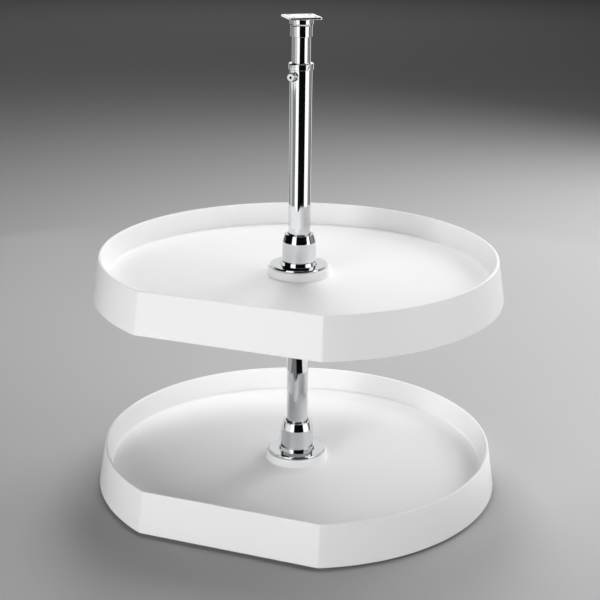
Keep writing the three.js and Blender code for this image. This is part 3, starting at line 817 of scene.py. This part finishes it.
def side_drill(length, angle, height):
    """The shape of the hole that a side screw goes through."""
    return sideways(rod("drill", side_screw_radius + GAP, 0, length), angle, height)


def tube(name, bore, radius, bottom, top, steps=96, material=chrome):
    """A tube or ring with its four edges lightly rounded."""
    return turned(name, [(bore, bottom, 0.3), (radius, bottom, 0.3), (radius, top, 0.3),
                         (bore, top, 0.3)], steps, material)


outer_tube = tube("outer_tube_chromed", tube_bore, tube_radius, tube_foot, tube_top)
outer_tube = combine(outer_tube, "DIFFERENCE",
                     side_drill(2 * tube_radius, lock_angle, lock_height))
dress(outer_tube, chrome, "root", "chromed_steel", "outer_tube")

inner_tube = tube("inner_tube_chromed", inner_bore, inner_radius, inner_foot, inner_top)
dress(inner_tube, chrome, "height_post", "chromed_steel", "inner_tube")

# %% Ferrule, guide ring and guide plug
ferrule_radius = sleeve + ferrule_wall
ferrule = turned("ferrule_turned", [
    (sleeve, ferrule_bottom, 0.2), (ferrule_radius, ferrule_bottom, 0.3),
    (ferrule_radius, ferrule_top, 1.2), (inner_sleeve, ferrule_top, 0.2),
    (inner_sleeve, lip_bottom), (sleeve, lip_bottom)], steps=96)
dress(ferrule, chrome, "root", "chromed_steel", "tube_ferrule")

guide = tube("ferrule_guide", inner_sleeve, tube_radius, guide_bottom, guide_top, steps=64,
             material=white_nylon)
dress(guide, white_nylon, "root", "nylon", "tube_guide_ring")

plug_radius, plug_neck = tube_bore - GAP, inner_bore - GAP
plug_shoulder = inner_foot - GAP
plug_bottom, plug_top = plug_shoulder - 4, inner_foot + 12
plug = turned("guide_plug", [
    (0, plug_bottom), (plug_radius, plug_bottom, 0.5), (plug_radius, plug_shoulder, 0.5),
    (plug_neck, plug_shoulder), (plug_neck, plug_top, 1.0), (0, plug_top)],
    material=white_nylon)
dress(plug, white_nylon, "height_post", "nylon", "inner_tube_guide_plug")

# %% Top fitting
stud_radius = 5.0
stud_hole = stud_radius + GAP
roof_bottom = socket_top - socket_roof
socket = turned("top_socket_turned", [
    (inner_sleeve, socket_bottom, 0.2), (cap_radius, socket_bottom, 0.4),
    (cap_radius, socket_top, 0.5), (stud_hole, socket_top, 0.2), (stud_hole, roof_bottom),
    (inner_sleeve, roof_bottom)], steps=96)
dress(socket, chrome, "height_post", "chromed_steel", "top_socket")

lock_ring = turned("lock_ring_turned", [
    (stud_hole, ring_bottom, 0.2), (cap_radius, ring_bottom, 0.5),
    (ring_radius, ring_bottom + ring_bevel, 0.8), (ring_radius, ring_top, 1.0),
    (stud_hole, ring_top, 0.2)], steps=96)
dress(lock_ring, chrome, "height_post", "chromed_steel", "top_lock_ring")

stud = rod("plate_stud", stud_radius, roof_bottom, plate_bottom - GAP, edge=0.4)
dress(stud, zinc, "height_post", "zinc_plated_steel", "top_stud")

# %% [markdown]
# Lock screw
#
# A small thumb screw goes through a boss on the side of the tube and presses on the inner tube.
# Its head is turned with a rounded edge and fluted for the fingers, with a hexagon in the end.
# The flutes could be bumps in the chrome, but its outline would stay round. So copies of one thin
# rod, set on a circle by the copying tree, cut them all at once.

# %% Boss
boss_end, side_boss_radius = tube_radius + 2.5, 5.0
boss = turned("lock_boss", [
    (0, tube_bore), (side_boss_radius, tube_bore), (side_boss_radius, boss_end, 0.6),
    (0, boss_end)], steps=48)
boss = combine(sideways(boss, lock_angle, lock_height), "DIFFERENCE",
               rod("tube_space", sleeve, 0, 600, steps=96),  # taller than the post
               side_drill(2 * tube_radius, lock_angle, lock_height))
dress(boss, chrome, "root", "chromed_steel", "lock_screw_boss")

# %% Thumb screw
thumb_radius, thumb_length = 5.5, 5.2
flute_count, flute_radius, flute_circle = 14, 0.62, 5.75
hexagon_radius, hexagon_depth = 1.9, 2.4
shank_overlap = 1.3  # how far a shank reaches into its head


def socket_screw(head, head_start, head_end, shank_start, *flutes):
    """A head along +Z with a hexagon socket in its end, joined to its shank."""
    hexagon = rod("hexagon", hexagon_radius, head_end - hexagon_depth, head_end + 1, steps=6)
    shank = rod("shank", side_screw_radius, shank_start, head_start + shank_overlap)
    return combine(combine(head, "DIFFERENCE", *flutes, hexagon), "UNION", shank)


head_start = boss_end + GAP
head_end = head_start + thumb_length
thumb_head = turned("lock_screw_fluted", [
    (0, head_start), (thumb_radius, head_start, 0.5), (thumb_radius, head_end, 0.9),
    (0, head_end)], steps=112)
flute = rod("flute", flute_radius, head_start - 1, head_end + 1, steps=12)
flutes = repeated("flutes", flute, flute_count, distance=flute_circle)
thumb_screw = socket_screw(thumb_head, head_start, head_end, inner_sleeve, flutes)
dress(sideways(thumb_screw, lock_angle, lock_height), chrome, "lock_screw", "chromed_steel",
      "lock_screw")

# %% [markdown]
# Top plate
#
# A stamped square plate with rounded corners and four holes, countersunk from below for the
# screws that go up into the cabinet. The stamping tool breaks its edges, so a Bevel modifier
# takes a narrow strip off each of them.

# %% Plate with countersunk holes
sink_radius, sink_depth, drill_reach = 4.0, 1.6, 6.0
plate_half, plate_corner, plate_bevel, plate_turn = 20.0, 2.0, 0.35, math.radians(36)
plate_hole_radius, plate_hole_inset = 2.2, 7.0


def countersunk_holes(radius, face, side, distance):
    """The shape of four holes in a square, wide where they open at the face, on side +1 or -1."""
    far, narrow = face - side * drill_reach, face - side * sink_depth
    past = face + side * sink_depth
    hole = turned("countersink", [(0, far), (radius, far), (radius, narrow), (sink_radius, face),
                                  (sink_radius, past), (0, past)], steps=32)
    return repeated("holes", hole, 4, first=45, distance=distance)


plate_outline = rounded([(x * plate_half, y * plate_half, plate_corner)
                         for x, y in ((-1, -1), (1, -1), (1, 1), (-1, 1))])
plate = block("top_plate_square", [(p.x, p.y) for p in plate_outline], plate_bottom, plate_top)
edges = plate.modifiers.new("edges", "BEVEL")
edges.width = plate_bevel * MM
edges.segments = 1
edges.limit_method = "ANGLE"
edges.angle_limit = math.radians(40)  # above the 15 degree steps of the rounded corners
holes = countersunk_holes(plate_hole_radius, plate_bottom, -1,
                          (plate_half - plate_hole_inset) * math.sqrt(2))
plate = move(combine(plate, "DIFFERENCE", holes), Matrix.Rotation(plate_turn, 4, "Z"))
dress(plate, satin_chrome, "height_post", "chromed_steel", "top_plate")

# %% [markdown]
# Collar and base
#
# The upper tray stands on a zinc-plated collar, clamped to the post by a screw with a hexagon
# socket. The post stands in a spun base flange that is screwed to the cabinet floor. Both are
# hidden, and both are turned shapes, so they take a few lines with the helpers used above.

# %% Collar and its screw
carrier_radius = 22.0  # of the collar, and of the base flange's socket
collar_height, collar_angle = 12.0, math.pi / 2
collar_top = tray_feet["upper"] + carrier_top
collar_bottom = collar_top - collar_height
collar_middle = collar_top - collar_height / 2
collar = turned("shelf_collar_turned", [
    (sleeve, collar_bottom, 0.3), (carrier_radius, collar_bottom, 0.8),
    (carrier_radius, collar_top, 0.8), (sleeve, collar_top, 0.3)], steps=96, material=zinc)
drill = side_drill(2 * carrier_radius, collar_angle, collar_middle)
dress(combine(collar, "DIFFERENCE", drill), zinc, "shelf_carrier", "zinc_plated_steel",
      "shelf_collar")

collar_screw_radius, collar_screw_length = 5.0, 5.0
screw_start = carrier_radius + GAP
screw_end = screw_start + collar_screw_length
collar_head = turned("collar_screw_socket", [
    (0, screw_start), (collar_screw_radius, screw_start, 0.4),
    (collar_screw_radius, screw_end, 0.7), (0, screw_end)], steps=48)
collar_screw = socket_screw(collar_head, screw_start, screw_end, sleeve)
dress(sideways(collar_screw, collar_angle, collar_middle), zinc, "shelf_carrier",
      "zinc_plated_steel", "shelf_collar_screw")

# %% Base flange
base_radius, base_thickness = 42.0, 3.0
base_hole_radius, base_hole_circle = 2.5, 33.0
base_top = tray_feet["lower"] + carrier_top
base = turned("base_flange_spun", [
    (0, 0), (base_radius, 0, 0.4), (base_radius, base_thickness, 1.0),
    (carrier_radius, base_thickness, 1.5), (carrier_radius, base_top, 0.8),
    (sleeve, base_top, 0.4), (sleeve, base_thickness), (0, base_thickness)],
    steps=96, material=zinc)
holes = countersunk_holes(base_hole_radius, base_thickness, 1, base_hole_circle)
dress(combine(base, "DIFFERENCE", holes), zinc, "root", "zinc_plated_steel", "base_flange")

# %% [markdown]
# Studio
#
# The carousel stands on a pale floor that rises into a seamless backdrop all round. A pool of
# light from above and behind fades towards the camera, and weak lights far back keep the
# backdrop a dark grey. Soft boxes from the left front and the right rear light the skirts and
# reach in under the upper tray, and a small box overhead sets the soft shadow under the lower one.

# %% Floor and room
# In millimetres: flat for 7 m, 1 mm under the base, then curving up into a wall 5 m high.
floor_paint, _, _ = surface("matt_studio_paint", "#b0b0b0", 0.9)
floor = turned("studio_floor", [
    (0, -1), (7000, -1), (10000, 300, 1200), (10600, 5000), (10650, 5000), (10650, -200),
    (0, -200)], steps=128, material=floor_paint)
floor.data.materials.clear()
floor.data.materials.append(floor_paint)
floor.data.shade_smooth()
floor.visible_glossy = False

scene.world = bpy.data.worlds.new("studio_room")
scene.world.use_nodes = True
room = scene.world.node_tree.nodes["Background"]
room.inputs["Color"].default_value = linear("#ffffff")
room.inputs["Strength"].default_value = 0.004  # nearly black, as an unlit hall is


# %% Soft boxes
def soft_box(name, turn, distance, bottom, top, width, power, aim_height=0.3, spread=180):
    """An upright area light; turn is in degrees from the camera's side, to its right."""
    light = bpy.data.lights.new(name, "AREA")
    light.shape = "RECTANGLE"
    light.size, light.size_y = width, top - bottom
    light.energy = power
    light.spread = math.radians(spread)
    lamp = bpy.data.objects.new(name, light)
    scene.collection.objects.link(lamp)
    around = math.radians(turn)
    side = towards_camera * math.cos(around) + camera_right * math.sin(around)
    middle = side * distance + Vector((0, 0, (bottom + top) / 2))
    aim = (Vector((0, 0, aim_height)) - middle).to_track_quat("-Z", "Y")
    lamp.matrix_world = Matrix.Translation(middle) @ aim.to_matrix().to_4x4()
    lamp.visible_camera = False
    lamp.visible_glossy = False
    return lamp


# Degrees round, then metres: distance, bottom, top and width. Last comes the power in watts.
STEEPLY_DOWN = -20
soft_box("pool_light", 180, 1.1, 1.9, 2.5, 0.6, 8.5, aim_height=-1.2, spread=120)
soft_box("overhead_light", 180, 0.5, 2.2, 2.6, 0.5, 8.5, aim_height=0)
soft_box("right_rear_light", 135, 2.0, 0.6, 1.5, 1.0, 24, aim_height=0.1)
soft_box("left_front_light", -35, 2.9, 0.25, 1.45, 1.4, 12.5, spread=90)
soft_box("low_front_light", -20, 2.9, 0.1, 0.6, 1.6, 3.4, spread=80)
soft_box("right_light", 88, 1.2, 0.02, 1.3, 1.1, 10)
soft_box("backdrop_light", 180, 5.0, 2.0, 3.0, 3.0, 11, aim_height=STEEPLY_DOWN)
soft_box("left_backdrop_light", -150, 5.0, 2.0, 3.0, 3.0, 4.5, aim_height=STEEPLY_DOWN)
soft_box("rear_floor_light", 180, 2.2, 2.0, 3.6, 3.0, 5, aim_height=-0.6, spread=140)

# %% [markdown]
# Cards for the chrome
#
# Chrome shows only what surrounds it, so it has its own cards, which show in reflections and
# light nothing. A bright card at the front left and bright ones at the right draw the bright
# stripes, greyer ones fill in at the left, and the dark room between them draws the black core.
# Cards far behind and one overhead whiten the plate and the flat tops, and two at the rear serve
# the back of the post. Four small cards that lie on the floor show in the stretch of post between
# the trays. An image of a studio round the scene could do it too, but cards are easier to place.

# %% Cards
FACE_UP, FACE_DOWN = 1000, -100  # aimed so far up or down, a card lies flat
NEAR, LOW, HIGH = 1.2, 0.345, 1.3  # a near card's distance, and the tops of low and tall ones
FOOT = 0.02  # the bottom of a card that reaches down to the floor


def card(name, turn, distance, bottom, top, width, brightness, aim_height=None):
    """A card that shows only in reflections; its brightness is what the camera would measure."""
    power = brightness * math.pi * width * (top - bottom)
    aim_height = (bottom + top) / 2 if aim_height is None else aim_height
    lamp = soft_box(name, turn, distance, bottom, top, width, power, aim_height)
    lamp.visible_glossy = True
    lamp.visible_diffuse = False


def floor_card(name, turn, width, brightness):
    """A card that lies on the floor, 0.4 m from front to back, with its middle 0.48 m out."""
    card(name, turn, 0.48, -0.19, 0.21, width, brightness, FACE_UP)


card("front_left_card", -36, 1.25, FOOT, HIGH, 0.69, 1.4)
card("left_card", -103, NEAR, FOOT, LOW, 0.87, 0.62)
card("low_grey_card", -67, NEAR, FOOT, LOW, 0.64, 0.28)
card("outer_left_card", -103, 2 * NEAR, 0.1, 0.34, 1.74, 0.35)
card("outer_grey_card", -67, 2 * NEAR, 0.1, 0.34, 1.28, 0.75)
card("right_card", 68, NEAR, FOOT, LOW, 0.92, 1.45)
card("upper_right_card", 62, NEAR, 0.35, 0.6, 0.83, 1.45)
card("right_grey_card", 108, NEAR, FOOT, 0.6, 0.8, 0.3)
card("high_right_card", 90, NEAR, 0.6, HIGH, 1.25, 1.45)
card("far_card", 180, 2.6, 0.6, 0.94, 1.2, 1.6)
card("far_grey_card", 180, 2.6, 0.95, 1.5, 1.6, 0.85)
card("rear_left_card", -150, 1.3, FOOT, HIGH, 0.4, 1.1)
card("rear_right_card", 152, 1.3, FOOT, HIGH, 0.5, 1.1)
card("overhead_card", 0, 0.01, 1.5, 3.1, 1.6, 0.6, FACE_DOWN)
floor_card("left_floor_card", -115, 0.8, 0.5)
floor_card("grey_floor_card", -45, 0.4, 0.2)
floor_card("right_floor_card", 95, 0.8, 1.0)
floor_card("rear_floor_card", 180, 0.6, 0.5)
